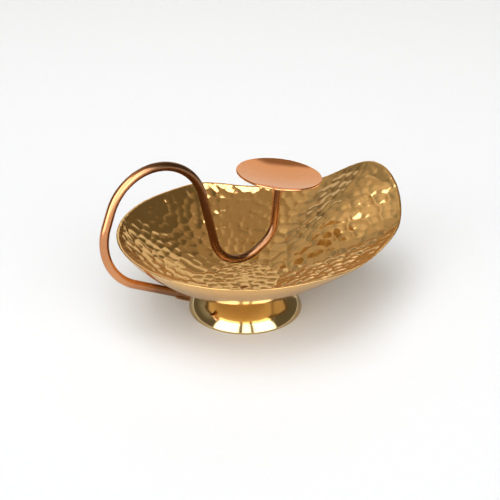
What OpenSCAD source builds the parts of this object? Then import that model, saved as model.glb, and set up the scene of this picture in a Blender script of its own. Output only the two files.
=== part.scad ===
// Diya oil lamp: a beaten brass bowl with one raised spout on a spun brass foot, and a bent
// copper rod that is the handle outside the bowl and carries a small copper dish above it.
// Origin: centre of the foot's base. +Z up, +X towards the spout, XZ is the plane of symmetry.

/* [Bowl] */
// Rim radius away from the spout
bowl_r = 61.3; // [58:0.1:64]
// Height of the rim away from the spout
rim_h = 42.6; // [40:0.1:46]
// Height of the bowl's underside, which is the height of the foot
seat_h = 14.5; // [14:0.1:16]
// Radius of the flat seat at the middle of the bowl
seat_r = 16; // [15:0.5:16]
// How far the wall swells out just below the rim, which leaves the rim more upright
swell_out = 1; // [0:0.1:1.2]
// Thickness of the beaten sheet
sheet_t = 1.4; // [1.2:0.1:1.6]

/* [Spout] */
// How far the spout reaches out past the rim radius
spout_reach = 23.3; // [15:0.1:25]
// How far the spout rises above the rim
spout_rise = 14.6; // [10:0.1:16]
// How far the rim is pinched in on each side of the spout
pinch_in = 8.6; // [4:0.1:9]
// How far the rim dips on each side of the spout
pinch_dip = 5; // [2:0.1:6]
// How far the wall is folded in below each pinch
fold_in = 4.5; // [0:0.1:5]

/* [Foot] */
// Radius of the foot at the table
foot_r = 28; // [26:0.5:30]
// Radius of the foot's neck
neck_r = 17; // [17:0.5:18]
// Thickness of the foot's spun wall
foot_wall = 1.6; // [1.4:0.1:1.8]

/* [Copper] */
// Diameter of the copper rod
rod_d = 4.1; // [3.9:0.1:4.2]
// Radius of the copper dish
dish_r = 20.9; // [18:0.1:21]
// How far the middle of the dish lies below its edge
dish_depth = 2.4; // [1.6:0.1:3]
// Thickness of the copper dish
dish_t = 1.1; // [0.9:0.1:1.3]
// Lean of the dish towards -Y, in degrees
dish_lean = 2.7; // [0:0.1:4]

/* [Hidden] */
$fn = 64;
eps = 0.01;

// Half widths, in degrees round the rim from the spout, of each stretch that leaves the plain bowl
reach_width = 99.7;
rise_width = 28.2;
pinch_at = 46.8;
pinch_width = 37.9;
dip_at = 45;
dip_width = 40.2;
fold_at = 60;
fold_width = 45;
// These make the highest value of s(1-s)^2 and of s^6(1-s) into 1
fold_scale = 6.75;
swell_scale = 17.65;
// The wall's curve from seat to rim: 1 is a straight cone, 2 is a round bowl
curve_back = 1.9;
curve_spout = 1.2;
curve_width = 150;
// Grid of the bowl's skin
rim_steps = 96;
wall_steps = 14;

// The rod: where it starts under the bowl, which way it heads, then [run, bend radius, turn] in
// order, seen from -Y. A turn is positive to the left. The last run goes up to the dish.
rod_start = [-32, 16];
rod_heading = 152.5;
rod_bends = [[32, 25, -84], [7, 24.2, -145.5], [26, 16.6, 106.5], [4.3, 13.7, 55]];
rod_end_run = 21.2;
bend_step = 7;
rod_sides = 16;
braze_run = 8;

// The foot's outline: a thin upright edge, a round shoulder that starts at a tilt from upright, a
// cone, and a cove. The cone meets the shoulder and the cove all but tangent, so it crosses each once.
foot_edge = 0.6;
shoulder_r = 11.5;
shoulder_tilt = 16;
cove_r = 4.5;
neck_band = 0.4;

// The braze: its height in a corner, how far it spreads on the bowl's seat, where the handle's fillets
// begin and end from the rod's middle, and the width of the dish's collar at its thin end
braze_size = 1.3;
braze_spread = 0.9;
fillet_start = 0.6;
fillet_end = 2;
collar_lip = 0.1;

brass = [0.80, 0.62, 0.36];
braze_brass = [0.72, 0.58, 0.38];
copper = [0.80, 0.50, 0.34];

// A smooth hump: 1 in the middle, 0 from one half width away
function hump(x) = abs(x) >= 1 ? 0 : (1 + cos(180 * x)) / 2;
// Angle from the spout, 0 to 180
function off_spout(a) = a > 180 ? 360 - a : a;

function rim_radius(a) = bowl_r + spout_reach * hump(off_spout(a) / reach_width)
    - pinch_in * hump((off_spout(a) - pinch_at) / pinch_width);
function rim_height(a) = rim_h + spout_rise * hump(off_spout(a) / rise_width)
    - pinch_dip * hump((off_spout(a) - dip_at) / dip_width);
function curve(a) = curve_back + (curve_spout - curve_back) * hump(off_spout(a) / curve_width);

// A point of the bowl's skin: share s = 0 at the seat's edge and 1 at the rim; inset is 0 on the
// outside and the sheet's thickness on the inside
function skin_point(a, s, inset) =
    let (fold = fold_in * hump((off_spout(a) - fold_at) / fold_width)
             * fold_scale * s * pow(1 - s, 2),
         swell = swell_out * swell_scale * pow(s, 6) * (1 - s),
         r = seat_r + (rim_radius(a) - inset - seat_r) * s - fold + swell,
         floor_z = seat_h + inset,
         z = floor_z + (rim_height(a) - floor_z) * pow(s, curve(a)))
    [r * cos(a), r * sin(a), z];

function skin_rings(inset) = [for (j = [0:wall_steps]) for (i = [0:rim_steps - 1])
    skin_point(i * 360 / rim_steps, j / wall_steps, inset)];

// Quads between two neighbouring rings of a grid that starts at point first
function ring_quads(first, flip) = [for (j = [0:wall_steps - 1]) for (i = [0:rim_steps - 1])
    let (a = first + j * rim_steps + i,
         b = first + j * rim_steps + (i + 1) % rim_steps,
         c = b + rim_steps,
         d = a + rim_steps)
    each flip ? [[a, c, b], [a, d, c]] : [[a, b, c], [a, c, d]]];

module bowl() {
    outside = skin_rings(0);
    inside = skin_rings(sheet_t);
    n = len(outside);
    top = wall_steps * rim_steps;
    rim = [for (i = [0:rim_steps - 1])
        let (j = (i + 1) % rim_steps)
        each [[top + i, top + j, n + top + j], [top + i, n + top + j, n + top + i]]];
    seat_under = [[for (i = [0:rim_steps - 1]) i]];
    seat_top = [[for (i = [rim_steps - 1:-1:0]) n + i]];
    color(brass)
        polyhedron(points = concat(outside, inside),
            faces = concat(ring_quads(0, true), ring_quads(n, false),
                [for (f = rim) [f[0], f[2], f[1]]], seat_under, seat_top),
            convexity = 6);
}

// Half section of the foot as a solid. A shrink moves the whole outline in by that much.
module foot_section(shrink) {
    shoulder = [foot_r - shoulder_r * cos(shoulder_tilt), foot_edge - shoulder_r * sin(shoulder_tilt)];
    edge_r = shoulder[0] + sqrt(pow(shoulder_r - shrink, 2) - pow(foot_edge - shoulder[1], 2));
    cove = [neck_r + cove_r, seat_h - neck_band];
    apart = cove - shoulder;
    slope = atan2(apart[1], apart[0]) - acos((shoulder_r + cove_r) / norm(apart));
    outward = [cos(slope), sin(slope)];
    cone_foot = shoulder + (shoulder_r - shrink - eps) * outward;
    cone_top = cove - (cove_r + shrink - eps) * outward;
    difference() {
        union() {
            polygon([[0, 0], [shoulder[0], 0], cone_foot, cone_top, cove,
                [neck_r - shrink, cove[1]], [neck_r - shrink, seat_h - shrink],
                [0, seat_h - shrink]]);
            intersection() {
                translate(shoulder)
                    circle(r = shoulder_r - shrink);
                square([edge_r, shoulder_r]);
            }
        }
        translate(cove)
            circle(r = cove_r + shrink);
        translate([neck_r - shrink, cove[1]])
            square(foot_r);
    }
}

module foot() {
    color(brass)
        rotate_extrude($fn = 96)
            difference() {
                foot_section(0);
                translate([-eps, -eps])
                    foot_section(foot_wall);
            }
}

// Ring of braze in the corner between the foot's neck and the bowl's seat
module foot_braze() {
    color(braze_brass)
        rotate_extrude($fn = 96)
            polygon([[neck_r, seat_h - braze_size],
                [neck_r + braze_spread / 2, seat_h - braze_size / 2],
                [neck_r + braze_spread, seat_h], [neck_r, seat_h]]);
}

// Where the heading is after the first k bends, and where the rod is
function heading(k) = k == 0 ? rod_heading : heading(k - 1) + rod_bends[k - 1][2];
function ahead(angle, length) = [length * cos(angle), length * sin(angle)];
function bend_start(k) = place(k) + ahead(heading(k), rod_bends[k][0]);
function place(k) = k == 0 ? rod_start :
    let (bend = rod_bends[k - 1],
         side = bend[2] > 0 ? 1 : -1)
    bend_start(k - 1) + ahead(heading(k - 1) + 90 * side, bend[1])
        - ahead(heading(k) + 90 * side, bend[1]);

// Moves its children from the flat drawing of the rod to the XZ plane, to a point and a heading
module at_rod(point, angle) {
    translate([point[0], 0, point[1]])
        rotate([90, 0, 0])
            rotate([0, 0, angle])
                children();
}

last = len(rod_bends);
rod_top = place(last) + ahead(heading(last), rod_end_run);

// Stations along the rod's centre line, each a point, a heading and the lean of the cut there: both
// ends and round each bend
function bend_stations(k) =
    let (bend = rod_bends[k],
         side = bend[2] > 0 ? 1 : -1,
         centre = bend_start(k) + ahead(heading(k) + 90 * side, bend[1]),
         steps = ceil(abs(bend[2]) / bend_step))
    [for (i = [0:steps])
        let (h = heading(k) + bend[2] * i / steps)
        [centre - ahead(h + 90 * side, bend[1]), h, 0]];

stations = concat([[rod_start, rod_heading, 0]],
    [for (k = [0:last - 1]) each bend_stations(k)],
    [[rod_top, heading(last), dish_lean]]);

// A round cross-section of the rod at a station, square to the heading or cut at a lean
function rod_ring(station) = [for (i = [0:rod_sides - 1])
    let (angle = i * 360 / rod_sides,
         y = rod_d / 2 * sin(angle),
         centre = station[0] + ahead(station[1] + 90, rod_d / 2 * cos(angle))
             + ahead(station[1], y * tan(station[2])))
    [centre[0], y, centre[1]]];

module handle_rod() {
    n = len(stations);
    sides = [for (k = [0:n - 2]) for (i = [0:rod_sides - 1])
        let (a = k * rod_sides + i,
             b = k * rod_sides + (i + 1) % rod_sides)
        each [[a, b, b + rod_sides], [a, b + rod_sides, a + rod_sides]]];
    start_cap = [[for (i = [rod_sides - 1:-1:0]) i]];
    end_cap = [[for (i = [0:rod_sides - 1]) (n - 1) * rod_sides + i]];
    color(copper)
        polyhedron(points = [for (s = stations) each rod_ring(s)],
            faces = concat(sides, start_cap, end_cap),
            convexity = 8);
}

// Two fillets of braze, one each side of the line where the rod's end lies along the bowl
module handle_braze() {
    color(braze_brass)
        at_rod(rod_start, rod_heading)
            rotate([90, 0, 90])
                linear_extrude(braze_run)
                    for (side = [0, 1])
                        mirror([0, side])
                            difference() {
                                polygon([[-rod_d / 2, fillet_start], [-rod_d / 2, fillet_end],
                                    [-rod_d / 4, fillet_end - fillet_start]]);
                                circle(d = rod_d);
                            }
}

// The dish and its braze lie on the rod's leaning top end
module at_dish() {
    at_rod(rod_top, heading(last))
        rotate([0, 90 - dish_lean, 0])
            children();
}

dish_bow = (pow(dish_r, 2) + pow(dish_depth, 2)) / (2 * dish_depth);

module dish() {
    color(copper)
        at_dish()
            rotate_extrude($fn = 96)
                difference() {
                    intersection() {
                        translate([0, dish_bow])
                            circle(r = dish_bow, $fn = 360);
                        square([dish_r, 2 * dish_depth]);
                    }
                    translate([0, dish_bow + dish_t])
                        circle(r = dish_bow, $fn = 360);
                }
}

module dish_braze() {
    color(braze_brass)
        difference() {
            at_dish()
                translate([0, 0, -braze_size])
                    cylinder(r1 = rod_d / 2 + collar_lip, r2 = rod_d / 2 + braze_size, h = braze_size);
            at_rod(rod_top, heading(last))
                rotate([0, 90, 0])
                    cylinder(d = rod_d, h = 4 * braze_size, center = true);
        }
}

bowl();
foot();
foot_braze();
handle_rod();
handle_braze();
dish();
dish_braze();
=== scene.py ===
"""Diya oil lamp: a beaten brass bowl on a spun foot, with a bent copper rod and a copper dish.

Everything is in metres in the frame's axes: +Z up, +X towards the spout, XZ the plane of symmetry.
"""
import math
import random

import bpy
import numpy as np
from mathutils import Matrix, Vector, noise
from mathutils.kdtree import KDTree


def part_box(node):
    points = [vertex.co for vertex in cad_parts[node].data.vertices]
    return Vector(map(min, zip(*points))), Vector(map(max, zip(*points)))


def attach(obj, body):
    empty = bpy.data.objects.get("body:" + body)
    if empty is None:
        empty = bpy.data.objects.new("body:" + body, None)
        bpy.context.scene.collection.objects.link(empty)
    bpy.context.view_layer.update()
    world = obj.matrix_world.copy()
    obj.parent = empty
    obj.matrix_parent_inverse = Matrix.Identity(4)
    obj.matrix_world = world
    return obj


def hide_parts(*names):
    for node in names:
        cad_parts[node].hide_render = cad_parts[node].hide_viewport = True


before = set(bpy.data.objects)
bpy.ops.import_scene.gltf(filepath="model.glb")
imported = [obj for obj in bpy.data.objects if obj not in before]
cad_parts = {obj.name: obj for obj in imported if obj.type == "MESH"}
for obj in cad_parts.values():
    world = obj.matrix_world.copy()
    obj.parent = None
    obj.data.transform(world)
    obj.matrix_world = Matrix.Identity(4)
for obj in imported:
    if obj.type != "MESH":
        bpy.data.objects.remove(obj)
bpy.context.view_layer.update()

MM = 0.001

# ---------------------------------------------------------------- the bowl's driving sizes
# Each width is a half width in degrees round the rim, and each "at" is degrees from the spout
BOWL_R = 61.3 * MM
RIM_H = 42.6 * MM
SEAT_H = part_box("foot")[1].z
SEAT_R = 16 * MM
SHEET = 1.4 * MM
SPOUT_REACH, REACH_WIDTH = 23.3 * MM, 99.7
SPOUT_RISE, RISE_WIDTH = 14.6 * MM, 28.2
PINCH_IN, PINCH_AT, PINCH_WIDTH = 8.6 * MM, 46.8, 37.9
PINCH_DIP, DIP_AT, DIP_WIDTH = 5 * MM, 45, 40.2
FOLD_IN, FOLD_AT, FOLD_WIDTH = 4.5 * MM, 60, 45
SWELL_OUT = 1.0 * MM
# These make the highest value of s(1-s)^2 and of s^6(1-s) into 1
FOLD_SCALE, SWELL_SCALE = 6.75, 17.65
# The wall's curve from seat to rim: 1 is a straight cone, 2 is a round bowl
CURVE_BACK, CURVE_SPOUT, CURVE_WIDTH = 1.9, 1.2, 150

# The bowl's grid: columns round it, rows of the seat and of the wall on each side, the share of the
# wall where the rounded lip begins, and the share where the seat's grid stops short of its centre
BOWL_COLUMNS = 480
OUTER_SEAT_ROWS, OUTER_WALL_ROWS = 6, 36
INNER_SEAT_ROWS, INNER_WALL_ROWS = 20, 96
LIP_SHARE, CENTRE_SHARE = 0.985, -0.98
LIP_STEPS = (0.998, 0.97, 0.88, 0.6, 0, -0.6, -0.88, -0.97, -0.998)
LIP_SQUARENESS = 5

# ---------------------------------------------------------------- the bowl's hammer marks
# Spacing between rings, how much wider it is round a ring, and the jitter as a share of it
BLOW_SPACING, RING_STRETCH, BLOW_JITTER = 4.7 * MM, 1.1, 0.24
# Radius of curvature of a blow's dish, the least and most it is times that, and the random depth in mm
BLOW_RADIUS, RADIUS_RANGE, BLOW_SINK = 11.5 * MM, (0.8, 1.5), 0.07
RIDGE_SOFTNESS = 0.012 * MM
# Share of the skin where the innermost ring lies, the fewest blows in a ring, how finely the skin is
# measured down its wall and round a ring, and how many near blows shape a point
FIRST_RING_SHARE, FEWEST_BLOWS = -0.93, 5
WALL_MEASURES, RING_MEASURES = 400, 721
BLOWS_IN_REACH = 5
BLOW_SEED, DEPTH_SEED = 11, 23

# ---------------------------------------------------------------- foot, rod and dish
FOOT_R = 28 * MM
FOOT_EDGE = 0.6 * MM
SHOULDER_R, SHOULDER_TILT = 11.5 * MM, math.radians(16)
NECK_R, COVE_R, NECK_BAND = 17 * MM, 4.5 * MM, 0.4 * MM
FOOT_WALL = 1.6 * MM
FOOT_COLUMNS, SHOULDER_STEPS, CONE_STEPS, COVE_STEPS = 256, 14, 12, 10
SOFT_EDGE = 0.18 * MM
# Radius at which the grid of a turned piece stops and is closed flat
CORE_R = 0.3 * MM

# The rod starts under the bowl at (X, Z) on a heading in degrees. Each bend is the straight run before
# it in mm, its radius in mm and its turn in degrees, positive to the left as seen from -Y.
ROD_R, ROD_SIDES = 2.05 * MM, 40
ROD_STEP, ROD_BEND_STEP = 1.2 * MM, 3
ROD_START = (-32 * MM, 16 * MM)
ROD_HEADING = 152.5
ROD_BENDS = ((32, 25, -84), (7, 24.2, -145.5), (26, 16.6, 106.5), (4.3, 13.7, 55))
ROD_END_RUN = 21.2 * MM
# The filed end: how far along the rod from its end each ring is, in mm, and its size
FILED_END = ((0, 0.72), (0.14, 0.86), (0.34, 0.95), (0.6, 0.99))

DISH_R, DISH_DEPTH, DISH_T = 20.9 * MM, 2.4 * MM, 1.1 * MM
DISH_LEAN = math.radians(2.7)
DISH_COLUMNS, DISH_ROWS, DISH_EDGE_STEPS = 192, 26, 9
# How far up and down from level its rounded edge runs, in degrees, and the radius where the waves that
# put it out of true reach their full height
DISH_EDGE_TURN, FULL_WAVE_R = 78, 8 * MM
BRAZE, COLLAR_COLUMNS = 1.3 * MM, 64
FILLET_RUN, FILLET_ROWS = 8 * MM, 26


def hump(x):
    """1 in the middle, falling smoothly to 0 one half width away."""
    x = np.clip(np.abs(x), 0, 1)
    return (1 + np.cos(np.pi * x)) / 2


def rim_radius(angle):
    off = np.degrees(np.abs(angle))
    return (BOWL_R + SPOUT_REACH * hump(off / REACH_WIDTH)
            - PINCH_IN * hump((off - PINCH_AT) / PINCH_WIDTH))


def rim_height(angle):
    off = np.degrees(np.abs(angle))
    return (RIM_H + SPOUT_RISE * hump(off / RISE_WIDTH)
            - PINCH_DIP * hump((off - DIP_AT) / DIP_WIDTH))


def wall_curve(angle):
    off = np.degrees(np.abs(angle))
    return CURVE_BACK + (CURVE_SPOUT - CURVE_BACK) * hump(off / CURVE_WIDTH)


def skin(angle, share, inset):
    """Points of the bowl's smooth skin. Share runs from -1 at the centre, over 0 at the seat's edge,
    to 1 at the rim. Inset is 0 outside and the sheet's thickness inside."""
    angle, share = np.broadcast_arrays(angle, share)
    wall = np.clip(share, 0, 1)
    floor = SEAT_H + inset
    fold = FOLD_IN * hump((np.degrees(np.abs(angle)) - FOLD_AT) / FOLD_WIDTH) * wall * (1 - wall) ** 2
    swell = SWELL_OUT * wall ** 6 * (1 - wall)
    radius = (SEAT_R * np.clip(1 + share, 0, 1) + (rim_radius(angle) - inset - SEAT_R) * wall
              - FOLD_SCALE * fold + SWELL_SCALE * swell)
    height = floor + (rim_height(angle) - floor) * wall ** wall_curve(angle)
    return np.stack([radius * np.cos(angle), radius * np.sin(angle), height], -1)


def grid_normals(points):
    """Normals of a grid of points, rows by columns, closed round the columns."""
    along = np.gradient(points, axis=0)
    around = np.roll(points, -1, axis=1) - np.roll(points, 1, axis=1)
    normal = np.cross(around, along)
    length = np.linalg.norm(normal, axis=-1, keepdims=True)
    return normal / np.maximum(length, 1e-12)


def unevenness(points, size, seed):
    """Smooth random numbers, about -1 to 1, that change over the given size."""
    flat = points.reshape(-1, 3)
    values = [noise.noise(Vector(p) / size + Vector((seed, 0, 0))) for p in flat]
    return np.array(values).reshape(points.shape[:-1])


def blow_centres():
    """Where the hammer fell: rings of blows down the inside of the bowl, evenly spaced with jitter."""
    rng = random.Random(BLOW_SEED)
    shares = np.linspace(FIRST_RING_SHARE, 1.0, WALL_MEASURES)
    back = skin(np.array([math.pi]), shares, SHEET)
    travel = np.concatenate([[0], np.cumsum(np.linalg.norm(np.diff(back, axis=0), axis=1))])
    rings = int(travel[-1] / BLOW_SPACING)
    angles = np.linspace(-math.pi, math.pi, RING_MEASURES)
    centres = [(0.0, 0.0, SEAT_H + SHEET)]
    for ring in range(rings + 1):
        share = float(np.interp((ring + 0.5) * travel[-1] / rings, travel, shares))
        line = skin(angles, np.full_like(angles, min(share, 1.0)), SHEET)
        length = np.concatenate([[0], np.cumsum(np.linalg.norm(np.diff(line, axis=0), axis=1))])
        count = max(FEWEST_BLOWS, int(length[-1] / (BLOW_SPACING * RING_STRETCH)))
        shift = rng.random()
        for i in range(count):
            place = (i + shift + rng.uniform(-BLOW_JITTER, BLOW_JITTER)) % count * length[-1] / count
            angle = float(np.interp(place, length, angles))
            step = BLOW_JITTER * (shares[-1] - shares[0]) / rings
            own = min(1.0, share + rng.uniform(-step, step))
            centres.append(tuple(skin(np.array(angle), np.array(own), SHEET)))
    return centres


def hammered(points, normals):
    """Moves the inside skin out along its normals between the blows, so each blow is a shallow dish
    and ridges stand where neighbouring dishes meet."""
    rng = random.Random(DEPTH_SEED)
    centres = blow_centres()
    tree = KDTree(len(centres))
    for i, centre in enumerate(centres):
        tree.insert(centre, i)
    tree.balance()
    bend = [BLOW_RADIUS * rng.uniform(*RADIUS_RANGE) for _ in centres]
    sunk = [rng.uniform(-BLOW_SINK, BLOW_SINK) * MM for _ in centres]
    flat = points.reshape(-1, 3)
    lift = np.empty(len(flat))
    for k, point in enumerate(flat):
        near = tree.find_n(point, BLOWS_IN_REACH)
        heights = np.array([d * d / (2 * bend[i]) + sunk[i] for _, i, d in near])
        lowest = heights.min()
        lift[k] = lowest - RIDGE_SOFTNESS * math.log(np.exp((lowest - heights) / RIDGE_SOFTNESS).sum())
    return points + normals * lift.reshape(points.shape[:2] + (1,))


# ---------------------------------------------------------------- mesh building
def make_object(name, points, faces):
    mesh = bpy.data.meshes.new(name)
    mesh.from_pydata([tuple(p) for p in points], [], faces)
    mesh.validate()
    mesh.polygons.foreach_set("use_smooth", [True] * len(mesh.polygons))
    piece = bpy.data.objects.new(name, mesh)
    bpy.context.scene.collection.objects.link(piece)
    return piece


def grid_faces(rows, columns, first=0, closed=False):
    """Quads of a grid of rows closed round its columns, and from the last row to the first if closed."""
    faces = []
    for j in range(rows if closed else rows - 1):
        for i in range(columns):
            k = (i + 1) % columns
            here, there = first + j * columns, first + (j + 1) % rows * columns
            faces.append((here + i, here + k, there + k, there + i))
    return faces


def make_grid(name, grid, caps):
    """A piece from a grid of points. Caps close its first and last row; without them the grid closes
    on itself."""
    rows, columns = grid.shape[:2]
    faces = grid_faces(rows, columns, closed=not caps)
    if caps:
        faces.append(tuple(range(columns - 1, -1, -1)))
        faces.append(tuple((rows - 1) * columns + i for i in range(columns)))
    return make_object(name, grid.reshape(-1, 3), faces)


def turned(profile, columns):
    """Points of an outline of (radius, height) turned round the Z axis."""
    angles = np.arange(columns) * 2 * math.pi / columns
    profile = np.array(profile)
    return np.stack([profile[:, :1] * np.cos(angles), profile[:, :1] * np.sin(angles),
                     np.broadcast_to(profile[:, 1:], (len(profile), columns))], -1)


def arc(centre, radius, start, end, steps):
    """Points of (radius, height) round an arc, from one angle in degrees to another."""
    angles = np.radians(np.linspace(start, end, steps + 1))
    return [(centre[0] + radius * math.cos(a), centre[1] + radius * math.sin(a)) for a in angles]


def straight(start, end, steps):
    """Points between two points of (radius, height), without the two ends."""
    return [(start[0] + (end[0] - start[0]) * i / steps, start[1] + (end[1] - start[1]) * i / steps)
            for i in range(1, steps)]


# ---------------------------------------------------------------- the pieces
def make_bowl():
    """The beaten sheet: a smooth, faintly uneven outside, a rounded lip, and a hammered inside."""
    angles = (np.arange(BOWL_COLUMNS) * 2 * math.pi / BOWL_COLUMNS + math.pi) % (2 * math.pi) - math.pi
    angles = angles[None, :]
    outer_shares = np.concatenate([np.linspace(CENTRE_SHARE, 0, OUTER_SEAT_ROWS)[:-1],
                                   np.linspace(0, LIP_SHARE, OUTER_WALL_ROWS)])
    inner_shares = np.concatenate([np.linspace(LIP_SHARE, 0, INNER_WALL_ROWS)[:-1],
                                   np.linspace(0, CENTRE_SHARE, INNER_SEAT_ROWS)])
    outside = skin(angles, outer_shares[:, None], 0)
    fade_in = np.clip(outer_shares * 3, 0, 1)[:, None]
    bulge = unevenness(outside, size=7 * MM, seed=3) * 0.10 * MM * fade_in
    outside = outside + grid_normals(outside) * bulge[..., None]
    inside = skin(angles, inner_shares[:, None], SHEET)
    inside = hammered(inside, -grid_normals(inside))
    middle = (outside[-1] + inside[0]) / 2
    across = (outside[-1] - inside[0]) / 2
    rim, below = (skin(angles, np.array([[share]]), SHEET / 2)[0] for share in (1.0, LIP_SHARE))
    wobble = unevenness(middle[None], size=5 * MM, seed=8)[0] * 0.16
    upward = (rim - below) * (1 + wobble)[:, None]
    lip = np.stack([middle + across * x + upward * (1 - abs(x) ** LIP_SQUARENESS) ** (1 / LIP_SQUARENESS)
                    for x in LIP_STEPS])
    return make_grid("beaten_bowl", np.concatenate([outside, lip, inside]), True)


def foot_outline(shrink):
    """The foot's outline from its bottom edge to its top, moved in by the given amount."""
    shoulder = (FOOT_R - SHOULDER_R * math.cos(SHOULDER_TILT),
                FOOT_EDGE - SHOULDER_R * math.sin(SHOULDER_TILT))
    cove = (NECK_R + COVE_R, SEAT_H - NECK_BAND)
    apart = (cove[0] - shoulder[0], cove[1] - shoulder[1])
    reach = math.hypot(*apart)
    slope = math.degrees(math.atan2(apart[1], apart[0]) - math.acos((SHOULDER_R + COVE_R) / reach))
    radius = SHOULDER_R - shrink
    start = math.degrees(math.asin((FOOT_EDGE - shoulder[1]) / radius))
    low = arc(shoulder, radius, start, slope, SHOULDER_STEPS)
    high = arc(cove, COVE_R + shrink, slope + 180, 180, COVE_STEPS)
    neck = (NECK_R - shrink, SEAT_H - shrink)
    return low + straight(low[-1], high[0], CONE_STEPS) + high + [neck]


def make_foot():
    """The spun foot, hollow below, with softened edges and a faint ripple round it."""
    outer = foot_outline(0)
    inner = foot_outline(FOOT_WALL)
    edge = [(inner[0][0], SOFT_EDGE), (inner[0][0] + SOFT_EDGE, 0.02 * MM), (FOOT_R - 2 * SOFT_EDGE, 0),
            (FOOT_R - SOFT_EDGE, 0.02 * MM), (FOOT_R - 0.04 * MM, SOFT_EDGE)]
    profile = [(CORE_R, inner[-1][1])] + inner[::-1] + edge + outer + [(CORE_R, SEAT_H)]
    grid = turned(profile, FOOT_COLUMNS)
    ripple = unevenness(grid * np.array([1, 1, 0.2]), size=16 * MM, seed=5) * 0.05 * MM
    outward = grid * np.array([1, 1, 0])
    outward = outward / np.linalg.norm(outward, axis=-1, keepdims=True)
    span = np.clip((grid[..., 2] - 0.4 * MM) / MM, 0, 1) * np.clip((SEAT_H - grid[..., 2]) / MM, 0, 1)
    return make_grid("spun_foot", grid + outward * (ripple * span)[..., None], True)


def rod_stations():
    """Centre line of the rod in the XZ plane: places and headings in degrees, close together."""
    place, heading = np.array(ROD_START), ROD_HEADING
    stations = [(place, heading)]

    def ahead(angle, length):
        return np.array([math.cos(math.radians(angle)), math.sin(math.radians(angle))]) * length

    def run(place, heading, length):
        steps = max(2, int(length / ROD_STEP))
        for i in range(1, steps + 1):
            stations.append((place + ahead(heading, length * i / steps), heading))
        return stations[-1][0]

    for length, bend, turn in ROD_BENDS:
        place = run(place, heading, length * MM)
        side = 90 if turn > 0 else -90
        centre = place + ahead(heading + side, bend * MM)
        steps = math.ceil(abs(turn) / ROD_BEND_STEP)
        for i in range(1, steps + 1):
            angle = heading + turn * i / steps
            stations.append((centre - ahead(angle + side, bend * MM), angle))
        place, heading = stations[-1][0], heading + turn
    run(place, heading, ROD_END_RUN)
    return stations


def make_rod():
    """The copper rod: a shade uneven along its length, with its free end rounded over by a file."""
    stations = rod_stations()
    angles = np.arange(ROD_SIDES) * 2 * math.pi / ROD_SIDES
    rings = []
    for k, (place, heading) in enumerate(stations):
        h = math.radians(heading)
        ahead = np.array([math.cos(h), 0, math.sin(h)])
        left = np.array([-math.sin(h), 0, math.cos(h)])
        away = np.array([0, 1, 0])
        ring = (np.array([place[0], 0, place[1]]) + ROD_R * np.cos(angles)[:, None] * left
                + ROD_R * np.sin(angles)[:, None] * away)
        if k == len(stations) - 1:
            ring = ring + ahead * (ring[:, 1:2] * math.tan(DISH_LEAN))
        if k == 0:
            middle = ring.mean(axis=0)
            for along, size in FILED_END:
                rings.append(middle + (ring - middle) * size + ahead * along * MM)
            continue
        rings.append(ring)
    grid = np.stack(rings)
    middle = grid.mean(axis=1, keepdims=True)
    outward = (grid - middle) / ROD_R
    dents = unevenness(grid, size=6 * MM, seed=12) * 0.035 * MM
    grid[:-1] += (outward * dents[..., None])[:-1]
    return make_grid("bent_rod", grid, True)


def rod_top():
    """Where the rod ends under the dish, and its heading there."""
    place, heading = rod_stations()[-1]
    return np.array([place[0], 0, place[1]]), math.radians(heading)


def on_dish(points):
    """Moves points from the dish's own upright axes to the leaning top of the rod."""
    top, heading = rod_top()
    ahead = np.array([math.cos(heading), 0, math.sin(heading)])
    side = np.array([-math.sin(heading), 0, math.cos(heading)])
    away = np.array([0, 1, 0])
    axis = ahead * math.cos(DISH_LEAN) - away * math.sin(DISH_LEAN)
    level = away * math.cos(DISH_LEAN) + ahead * math.sin(DISH_LEAN)
    return top + points[..., :1] * -side + points[..., 1:2] * level + points[..., 2:] * axis


def make_dish():
    """The copper dish: a shallow dished disc with a rounded edge, a shade out of true."""
    bow = (DISH_R ** 2 + DISH_DEPTH ** 2) / (2 * DISH_DEPTH)
    half = DISH_T / 2
    limit = DISH_R - half

    def at(radius, offset):
        tilt = math.asin(radius / bow)
        size = bow - half - offset
        return (size * math.sin(tilt), bow - size * math.cos(tilt))

    reach = np.concatenate([np.linspace(CORE_R, limit - 0.5 * MM, DISH_ROWS), [limit - 0.2 * MM, limit]])
    under = [at(r, -half) for r in reach]
    over = [at(r, half) for r in reach[::-1]]
    tilt = math.asin(limit / bow)
    middle = ((bow - half) * math.sin(tilt), bow - (bow - half) * math.cos(tilt))
    edge = [(middle[0] + half * math.cos(tilt + t), middle[1] + half * math.sin(tilt + t))
            for t in np.radians(np.linspace(-DISH_EDGE_TURN, DISH_EDGE_TURN, DISH_EDGE_STEPS))]
    grid = turned(under + edge + over, DISH_COLUMNS)
    wave = unevenness(grid * np.array([1, 1, 0]), size=17 * MM, seed=21) * 0.16 * MM
    wave += unevenness(grid * np.array([1, 1, 0]), size=7 * MM, seed=31) * 0.03 * MM
    spread = np.clip(np.hypot(grid[..., 0], grid[..., 1]) / FULL_WAVE_R, 0, 1)
    grid[..., 2] += wave * spread
    return make_grid("copper_dish", on_dish(grid), True)


def lumpy(grid, size, amount, seed):
    """Pushes a grid of points in and out a little, as set braze is."""
    rough = unevenness(grid, size, seed) + 0.5 * unevenness(grid, size / 2.7, seed + 4)
    return grid + grid_normals(grid) * (rough * amount)[..., None]


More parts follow.
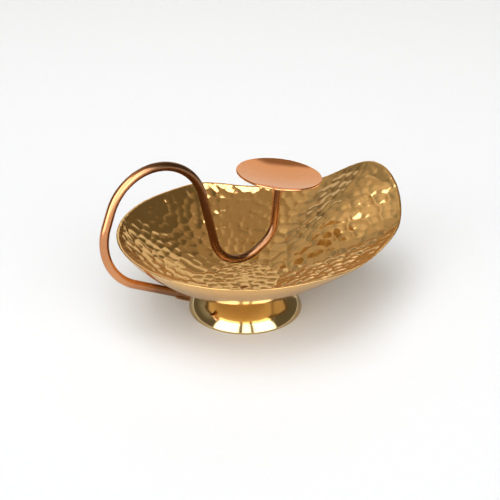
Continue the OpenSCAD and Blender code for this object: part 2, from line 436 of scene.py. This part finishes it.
def make_foot_braze():
    """Ring of braze in the corner under the bowl, between the foot's neck and the bowl's seat."""
    profile = [(NECK_R - 0.3 * MM, SEAT_H - BRAZE), (NECK_R + 0.05 * MM, SEAT_H - BRAZE),
               (NECK_R + 0.2 * MM, SEAT_H - 0.9 * MM), (NECK_R + 0.42 * MM, SEAT_H - 0.5 * MM),
               (NECK_R + 0.75 * MM, SEAT_H - 0.16 * MM), (NECK_R + 1.1 * MM, SEAT_H + 0.02 * MM),
               (NECK_R - 0.3 * MM, SEAT_H + 0.02 * MM)]
    ring = lumpy(turned(profile, FOOT_COLUMNS), size=2.2 * MM, amount=0.07 * MM, seed=40)
    return make_grid("foot_braze_ring", ring, False)


def make_dish_braze():
    """Collar of braze where the rod's end meets the underside of the dish."""
    profile = [(ROD_R - 0.4 * MM, -1.6 * MM), (ROD_R + 0.05 * MM, -1.5 * MM), (ROD_R + 0.2 * MM, -1.1 * MM),
               (ROD_R + 0.5 * MM, -0.6 * MM), (ROD_R + 0.9 * MM, -0.25 * MM), (ROD_R + 1.5 * MM, 0.02 * MM),
               (ROD_R + 1.5 * MM, 0.1 * MM), (ROD_R - 0.4 * MM, 0.1 * MM)]
    collar = lumpy(turned(profile, COLLAR_COLUMNS), size=1.6 * MM, amount=0.07 * MM, seed=50)
    return make_grid("dish_braze_collar", on_dish(collar), False)


def make_handle_braze():
    """Two fillets of braze along the line where the rod's end lies on the bowl's outside."""
    heading = math.radians(ROD_HEADING)
    ahead = np.array([math.cos(heading), 0, math.sin(heading)])
    left = np.array([-math.sin(heading), 0, math.cos(heading)])
    start = np.array([ROD_START[0], 0, ROD_START[1]])
    points, faces = [], []
    for side in (-1, 1):
        rings = []
        for share in np.linspace(-0.03, 1.0, FILLET_ROWS):
            swell = 0.35 + 0.65 * min(1.0, (1 - abs(2 * share - 1)) * 5 + 0.05)
            # Down from the rod's middle and out from its side, in mm
            outline = [(-1.2, 1.2), (-1.75, 1.45), (-2.05, 1.35 + 0.75 * swell), (-2.2, 1.5 + 1.0 * swell),
                       (-2.6, 1.1), (-2.3, 0.5)]
            ring = [start + ahead * (FILLET_RUN * share) - left * (x * MM) + np.array([0, side * y * MM, 0])
                    for x, y in outline]
            rings.append(ring)
        grid = np.array(rings)
        if side < 0:
            grid = grid[:, ::-1]
        first = len(points)
        rows, columns = grid.shape[:2]
        grid = lumpy(grid, size=1.5 * MM, amount=0.05 * MM, seed=60 + side)
        points.extend(grid.reshape(-1, 3))
        faces.extend(grid_faces(rows, columns, first))
        faces.append(tuple(first + i for i in range(columns - 1, -1, -1)))
        faces.append(tuple(first + (rows - 1) * columns + i for i in range(columns)))
    return make_object("handle_braze_fillets", points, faces)


# ---------------------------------------------------------------- materials
# Scales, per metre, of the noise in a metal's soft patches, stained spots, wiped smears, fine grain and
# turned rings. The scratches' noise is turned and drawn out along one axis.
PATCH_SCALE, SPOT_SCALE, SMEAR_SCALE, FINE_SCALE, RING_SCALE = 42, 260, 130, 1500, 2600
SCRATCH_TURN, SCRATCH_SCALE = (0.3, 0.5, 0.6), (60, 900, 900)
# How much a spot stains the colour and roughens it, how far the painted shade colour covers and how wavy
# its edge is in metres, and what the scratches and smears add to the relief and how high it is in metres
SPOT_STAIN, SPOT_ROUGHNESS = 0.55, 0.12
SHADE_COVER, SHADE_EDGE = 0.85, 0.008
SCRATCH_RELIEF, SMEAR_RELIEF, RELIEF_HEIGHT = -0.6, 1.2, 0.0002


class Nodes:
    """A material or world's node tree, with short ways to add what the surfaces here need."""

    def __init__(self, tree):
        self.tree = tree

    def add(self, kind, inputs=(), **settings):
        node = self.tree.nodes.new(kind)
        for name, value in settings.items():
            setattr(node, name, value)
        for socket, value in inputs:
            if isinstance(value, bpy.types.NodeSocket):
                self.tree.links.new(value, node.inputs[socket])
            else:
                node.inputs[socket].default_value = value
        return node

    def noise(self, vector, scale, detail=4.0, rough=0.5):
        node = self.add("ShaderNodeTexNoise", [("Vector", vector), ("Scale", scale), ("Detail", detail),
                                               ("Roughness", rough)])
        return node.outputs["Fac"]

    def remap(self, value, low, high, to_low=0.0, to_high=1.0):
        node = self.add("ShaderNodeMapRange", [("Value", value), ("From Min", low), ("From Max", high),
                                               ("To Min", to_low), ("To Max", to_high)],
                        interpolation_type="SMOOTHSTEP")
        return node.outputs["Result"]

    def maths(self, operation, *values):
        node = self.add("ShaderNodeMath", list(enumerate(values)), operation=operation)
        return node.outputs[0]

    def blend(self, share, first, second):
        node = self.add("ShaderNodeMix", data_type="RGBA")
        sockets = {s.identifier: s for s in node.inputs}
        for name, value in (("Factor_Float", share), ("A_Color", first), ("B_Color", second)):
            if isinstance(value, bpy.types.NodeSocket):
                self.tree.links.new(value, sockets[name])
            else:
                sockets[name].default_value = value if name == "Factor_Float" else (*value, 1)
        return next(s for s in node.outputs if s.identifier == "Result_Color")


def new_material(name):
    material = bpy.data.materials.new(name)
    material.use_nodes = True
    return material, Nodes(material.node_tree), material.node_tree.nodes["Principled BSDF"]


def metal(name, base, worn, stain, roughness, polish, rings=0.0, grain=0.03, painted_shade=None):
    """Polished metal. Colour drifts from base to worn in soft patches with small stained spots.
    Roughness varies with wipe marks and scratches, and a faint relief unsettles the reflections.
    Rings adds the fine turned lines of spun metal round the Z axis. Painted shade is a dark colour that
    takes over from one X to another, standing for the shade on the rod inside and under the bowl."""
    material, nodes, shader = new_material(name)
    shader.inputs["Metallic"].default_value = 1.0
    place = nodes.add("ShaderNodeTexCoord").outputs["Object"]
    patches = nodes.remap(nodes.noise(place, PATCH_SCALE, 5), 0.35, 0.7)
    spots = nodes.remap(nodes.noise(place, SPOT_SCALE, 6, 0.65), 0.60, 0.74)
    colour = nodes.blend(patches, base, worn)
    # Painted shade: past the given X the colour turns to a dark shade tone
    if painted_shade:
        shade_tone, start, end = painted_shade
        along = nodes.add("ShaderNodeSeparateXYZ", [("Vector", place)]).outputs["X"]
        edge = nodes.maths("MULTIPLY_ADD", patches, SHADE_EDGE, along)
        browned = nodes.maths("MULTIPLY", nodes.remap(edge, start, end), SHADE_COVER)
        colour = nodes.blend(browned, colour, shade_tone)
    colour = nodes.blend(nodes.maths("MULTIPLY", spots, SPOT_STAIN), colour, stain)
    nodes.tree.links.new(colour, shader.inputs["Base Color"])
    drawn = nodes.add("ShaderNodeMapping", [("Vector", place), ("Rotation", SCRATCH_TURN),
                                            ("Scale", SCRATCH_SCALE)]).outputs["Vector"]
    scratches = nodes.remap(nodes.noise(drawn, 1.0, 3, 0.6), 0.56, 0.72)
    smears = nodes.noise(place, SMEAR_SCALE, 5, 0.6)
    fine = nodes.noise(place, FINE_SCALE, 3)
    rough = nodes.maths("MULTIPLY_ADD", smears, 2 * polish, roughness - polish)
    rough = nodes.maths("MULTIPLY_ADD", scratches, polish, rough)
    rough = nodes.maths("MULTIPLY_ADD", spots, SPOT_ROUGHNESS, rough)
    nodes.tree.links.new(rough, shader.inputs["Roughness"])
    relief = nodes.maths("MULTIPLY_ADD", scratches, SCRATCH_RELIEF, fine)
    relief = nodes.maths("MULTIPLY_ADD", smears, SMEAR_RELIEF, relief)
    if rings:
        split = nodes.add("ShaderNodeSeparateXYZ", [("Vector", place)])
        across = nodes.maths("MULTIPLY", split.outputs["X"], split.outputs["X"])
        across = nodes.maths("MULTIPLY_ADD", split.outputs["Y"], split.outputs["Y"], across)
        radius = nodes.maths("SQRT", across)
        lines = nodes.add("ShaderNodeCombineXYZ", [("X", radius), ("Y", split.outputs["Z"])])
        turning = nodes.noise(lines.outputs["Vector"], RING_SCALE, 2)
        relief = nodes.maths("MULTIPLY_ADD", turning, rings, relief)
    bump = nodes.add("ShaderNodeBump", [("Strength", grain), ("Distance", RELIEF_HEIGHT),
                                        ("Height", relief)])
    nodes.tree.links.new(bump.outputs["Normal"], shader.inputs["Normal"])
    return material


def dress(piece, material):
    piece.data.materials.clear()
    piece.data.materials.append(material)


def shade_underneath(piece, material):
    """Gives the faces that look down the darker material: painted shade under the dish."""
    piece.data.materials.append(material)
    for face in piece.data.polygons:
        face.material_index = 1 if face.normal.z < -0.5 else 0


def stand_in_place(piece, node, material):
    """The piece takes the place of a CAD node, on the lamp's one body."""
    dress(piece, material)
    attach(piece, "root")
    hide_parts(node)


# ---------------------------------------------------------------- studio
FLOOR_HALF, FLOOR_ROUGHNESS = 3.0, 0.7
# The floor as the metal mirrors it and as the camera sees it: lighter, and cooler to even out warm light
FLOOR, FLOOR_SEEN = (0.50, 0.50, 0.50), (0.615, 0.645, 0.685)


def make_floor():
    material, nodes, shader = new_material("floor")
    seen = nodes.add("ShaderNodeLightPath").outputs["Is Camera Ray"]
    colour = nodes.blend(seen, FLOOR, FLOOR_SEEN)
    nodes.tree.links.new(colour, shader.inputs["Base Color"])
    shader.inputs["Roughness"].default_value = FLOOR_ROUGHNESS
    corners = [(x * FLOOR_HALF, y * FLOOR_HALF, 0) for x, y in ((-1, -1), (1, -1), (1, 1), (-1, 1))]
    floor = make_object("floor", corners, [(0, 1, 2, 3)])
    dress(floor, material)


def make_top_light(place, aim, size, power):
    """A square soft light that brightens the floor and isn't mirrored in the metal."""
    data = bpy.data.lights.new("top", "AREA")
    data.shape = "RECTANGLE"
    data.size, data.size_y = size, size
    data.energy = power
    light = bpy.data.objects.new("top", data)
    light.location = place
    light.rotation_mode = "QUATERNION"
    light.rotation_quaternion = (Vector(aim) - Vector(place)).to_track_quat("-Z", "Y")
    light.visible_glossy = False
    bpy.context.scene.collection.objects.link(light)


# The camera's heading is turned from +Y towards +X by this much, so the spout points right and away
VIEW_TURN = math.radians(35)
CAMERA_PLACE = (-0.2216, -0.3205, 0.2256)
CAMERA_PITCH = math.radians(26.57)
LENS_MM, SENSOR_MM = 64.8, 36


def from_camera(right, away, up):
    """A place given as seen by the camera: to its right, away from it and up, from the foot."""
    c, s = math.cos(VIEW_TURN), math.sin(VIEW_TURN)
    return (right * c + away * s, -right * s + away * c, up)


def make_camera():
    data = bpy.data.cameras.new("camera")
    data.lens = LENS_MM
    data.sensor_width = SENSOR_MM
    data.clip_start = 0.01
    camera = bpy.data.objects.new("camera", data)
    camera.location = CAMERA_PLACE
    camera.rotation_euler = (math.pi / 2 - CAMERA_PITCH, 0, -VIEW_TURN)
    bpy.context.scene.collection.objects.link(camera)
    bpy.context.scene.camera = camera


# The studio as the metal mirrors it: a dim room, and soft panels. Each panel: heading in degrees from
# straight behind the camera, positive to its right, height in degrees, half width, half height, soft
# edge, strength, colour. What the camera itself sees past the floor is an even pale backdrop.
BACKDROP = (0.86, 0.86, 0.85)
ROOM = (0.135, 0.112, 0.075)
WHITE, CREAM, WARM = (1.0, 0.985, 0.96), (1.0, 0.945, 0.84), (1.0, 0.74, 0.50)
PANELS = [
    (167, 7.5, 22, 27.5, 2.5, 0.64, CREAM),
    (-163, 1, 14, 21, 3, 0.50, CREAM),
    (-125, 52, 45, 28, 12, 0.19, CREAM),
    (-88, 66, 38, 15, 6, 0.20, CREAM),
    (0, 90, 180, 30, 8, 0.22, WARM),
    (180, 48, 50, 14, 4, 0.15, WARM),
    (-37, 34, 24, 37, 3, 3.4, WHITE),
    (38.5, 34, 21.5, 37, 3, 3.4, WHITE),
    (2.6, 34, 7.8, 36, 2, 3.0, WHITE),
]


def make_world():
    """The room and its panels, each painted on by heading and height."""
    world = bpy.data.worlds.new("studio")
    world.use_nodes = True
    nodes = Nodes(world.node_tree)
    coords = nodes.add("ShaderNodeTexCoord").outputs["Generated"]

    def along(direction):
        node = nodes.add("ShaderNodeVectorMath", [(0, coords), (1, direction)], operation="DOT_PRODUCT")
        return node.outputs["Value"]

    def inside(distance, half, soft):
        return nodes.remap(distance, math.radians(half + soft), math.radians(half - soft))

    heading = nodes.maths("ARCTAN2", along(from_camera(1, 0, 0)), along(from_camera(0, -1, 0)))
    height = nodes.maths("ARCSINE", along((0, 0, 1)))
    total = ROOM
    for at, up, half_width, half_height, soft, strength, colour in PANELS:
        turn = nodes.maths("SUBTRACT", heading, math.radians(at))
        aside = nodes.maths("ABSOLUTE", nodes.maths("WRAP", turn, -math.pi, math.pi))
        above = nodes.maths("ABSOLUTE", nodes.maths("SUBTRACT", height, math.radians(up)))
        shape = inside(above, half_height, soft)
        if half_width < 180:
            shape = nodes.maths("MULTIPLY", inside(aside, half_width, soft), shape)
        light = tuple(c * strength for c in colour)
        glow = nodes.add("ShaderNodeVectorMath", [(0, light), ("Scale", shape)], operation="SCALE")
        add = nodes.add("ShaderNodeVectorMath", [(0, total), (1, glow.outputs[0])], operation="ADD")
        total = add.outputs[0]
    seen = nodes.add("ShaderNodeLightPath").outputs["Is Camera Ray"]
    total = nodes.blend(seen, total, BACKDROP)
    nodes.tree.links.new(total, world.node_tree.nodes["Background"].inputs["Color"])
    bpy.context.scene.world = world


make_camera()
make_world()
make_floor()
make_top_light(from_camera(-0.2, -0.2, 1.6), aim=(0, 0, 0), size=1.2, power=14)

# Each metal: base, worn and stained colour, roughness, and how much the polish varies it
brass_bowl = metal("brass_bowl", (0.87, 0.56, 0.23), (0.84, 0.53, 0.21), (0.55, 0.33, 0.12), 0.15, 0.05)
# The foot's brass is set darker than the bowl's, as painted shade for the shaded floor near the foot that
# it mirrors
brass_foot = metal("brass_foot", (0.75, 0.58, 0.31), (0.72, 0.55, 0.29), (0.50, 0.35, 0.16), 0.09, 0.03,
                   rings=1.2, grain=0.02)
# The rod's copper turns dark brown from X = -62 mm towards +X: painted shade on the rod inside and under
# the bowl
copper_rod = metal("copper_rod", (0.75, 0.36, 0.17), (0.64, 0.28, 0.13), (0.32, 0.14, 0.06), 0.2, 0.07,
                   painted_shade=((0.20, 0.11, 0.06), -0.062, -0.044))
copper_dish = metal("copper_dish", (0.94, 0.42, 0.185), (0.90, 0.39, 0.165), (0.60, 0.24, 0.12),
                    0.085, 0.03)
# Painted shade: darker, greyer copper for the faces of the dish that look down
dish_under_shade = metal("dish_under_shade", (0.42, 0.42, 0.38), (0.34, 0.33, 0.29), (0.15, 0.13, 0.11), 0.5, 0.1)
braze = metal("braze", (0.42, 0.29, 0.15), (0.27, 0.18, 0.10), (0.10, 0.07, 0.05), 0.42, 0.12, grain=0.25)

stand_in_place(make_bowl(), "bowl", brass_bowl)
stand_in_place(make_foot(), "foot", brass_foot)
stand_in_place(make_foot_braze(), "foot_braze", braze)
stand_in_place(make_rod(), "handle_rod", copper_rod)
stand_in_place(make_handle_braze(), "handle_braze", braze)
dish = make_dish()
stand_in_place(dish, "dish", copper_dish)
shade_underneath(dish, dish_under_shade)
stand_in_place(make_dish_braze(), "dish_braze", braze)

bpy.context.scene.view_settings.view_transform = "Standard"
